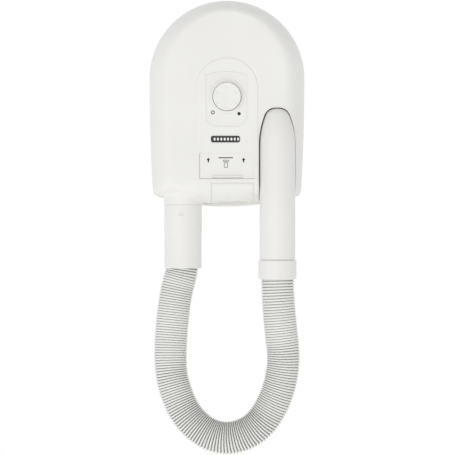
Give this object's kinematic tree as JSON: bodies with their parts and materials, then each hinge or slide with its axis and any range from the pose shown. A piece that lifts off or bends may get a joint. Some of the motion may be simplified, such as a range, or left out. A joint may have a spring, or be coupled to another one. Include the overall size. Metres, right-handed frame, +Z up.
{
  "type": "wall-mounted hose hair dryer",
  "caption": "White wall-mounted hair dryer with an arched housing, a handle docked in a cradle, a ribbed U-shaped hose, a heat dial and a shaver socket behind a sliding door.",
  "frame": {"origin": "centre of the wall bracket's four screw holes, on the wall plane", "axes": "+Z up, +Y into the wall, -Y towards the user, +X to the user's right"},
  "size_m": [0.2052, 0.103, 0.5987],
  "materials": {
    "housing_white": "satin, slightly warm white",
    "console_white": "satin white",
    "dial_white": "satin white",
    "knob_white": "satin white",
    "handle_white": "satin white",
    "hose_grey": "soft light grey",
    "print_dark": "flat black print",
    "badge_graphite": "satin graphite",
    "inner_plastic": "matt dark grey",
    "zinc_steel": "zinc-plated sheet",
    "fastener_steel": "plain",
    "contact_brass": "plain",
    "black_rubber": "matt",
    "filter_foam": "open-cell foam",
    "board_green": "solder mask",
    "copper_winding": "lacquered copper wire",
    "core_steel": "laminated sheet",
    "mica": "mica board",
    "heater_wire": "resistance wire",
    "magnet_ferrite": "ferrite"
  },
  "bodies": {
    "housing": {"wall_bracket": "zinc_steel", "back_tray": "housing_white", "cover_screws": "fastener_steel", "cable_grommet": "black_rubber", "front_cover": "housing_white", "handle_cradle": "housing_white", "filter_cover": "housing_white", "intake_filter": "filter_foam", "console_panel": "console_white", "dial_plate": "dial_white", "dial_marks": "print_dark", "badge": "badge_graphite", "badge_bars": "console_white", "socket_insert": "inner_plastic", "socket_contacts": "contact_brass", "transformer_core": "core_steel", "transformer_winding": "copper_winding", "control_board": "board_green", "dial_switch": "inner_plastic", "board_components": "inner_plastic", "terminal_block": "inner_plastic", "blower_tube": "inner_plastic", "motor_sleeve": "black_rubber", "motor": "fastener_steel", "heater_tube": "mica", "heater_frame": "mica", "heater_coil": "heater_wire", "thermostat": "fastener_steel", "thermal_fuse": "fastener_steel", "duct_funnel": "inner_plastic", "outlet_spigot": "inner_plastic", "catch_plate": "zinc_steel", "microswitch": "inner_plastic", "plunger_spring": "fastener_steel", "hose": "hose_grey"},
    "handle": {"handle_front_shell": "handle_white", "handle_rear_shell": "handle_white", "handle_screws": "fastener_steel", "catch_magnet": "magnet_ferrite", "handle_neck": "inner_plastic", "nozzle_grille": "handle_white"},
    "handle_collar": {"handle_cuff": "handle_white"},
    "outlet_collar": {"outlet_cuff": "handle_white"},
    "knob": {"temperature_knob": "knob_white", "knob_spindle": "fastener_steel"},
    "door": {"shaver_door": "console_white", "door_marks": "print_dark"},
    "fan": {"motor_shaft": "fastener_steel", "fan_impeller": "inner_plastic"},
    "plunger": {"cradle_plunger": "handle_white"}
  },
  "joints": [
    {"name": "handle_lift", "type": "slide", "parent": "housing", "child": "handle", "axis": [0, -1, 0], "range_m": [0, 0.06], "deforming": ["hose"]},
    {"name": "handle_collar_swivel", "type": "hinge", "parent": "handle", "child": "handle_collar", "pos_m": [0.0662, -0.078, -0.222], "axis": [0, 0, 1], "continuous": true},
    {"name": "outlet_collar_swivel", "type": "hinge", "parent": "housing", "child": "outlet_collar", "pos_m": [-0.058, -0.05, -0.18], "axis": [0, 0, 1], "continuous": true},
    {"name": "knob_turn", "type": "hinge", "parent": "housing", "child": "knob", "pos_m": [0, -0.09, 0.0041], "axis": [0, 1, 0], "range_deg": [-135, 135]},
    {"name": "shaver_door_slide", "type": "slide", "parent": "housing", "child": "door", "axis": [0, 0, 1], "range_m": [0, 0.0294]},
    {"name": "fan_spin", "type": "hinge", "parent": "housing", "child": "fan", "pos_m": [-0.058, -0.05, 0.043], "axis": [0, 0, 1], "continuous": true},
    {"name": "cradle_switch", "type": "slide", "parent": "housing", "child": "plunger", "axis": [0, -1, 0], "range_m": [0, 0.003], "deforming": ["plunger_spring"]}
  ],
  "couplings": [
    {"joint": "cradle_switch", "follows": "handle_lift", "ratio": 0.05}
  ]
}
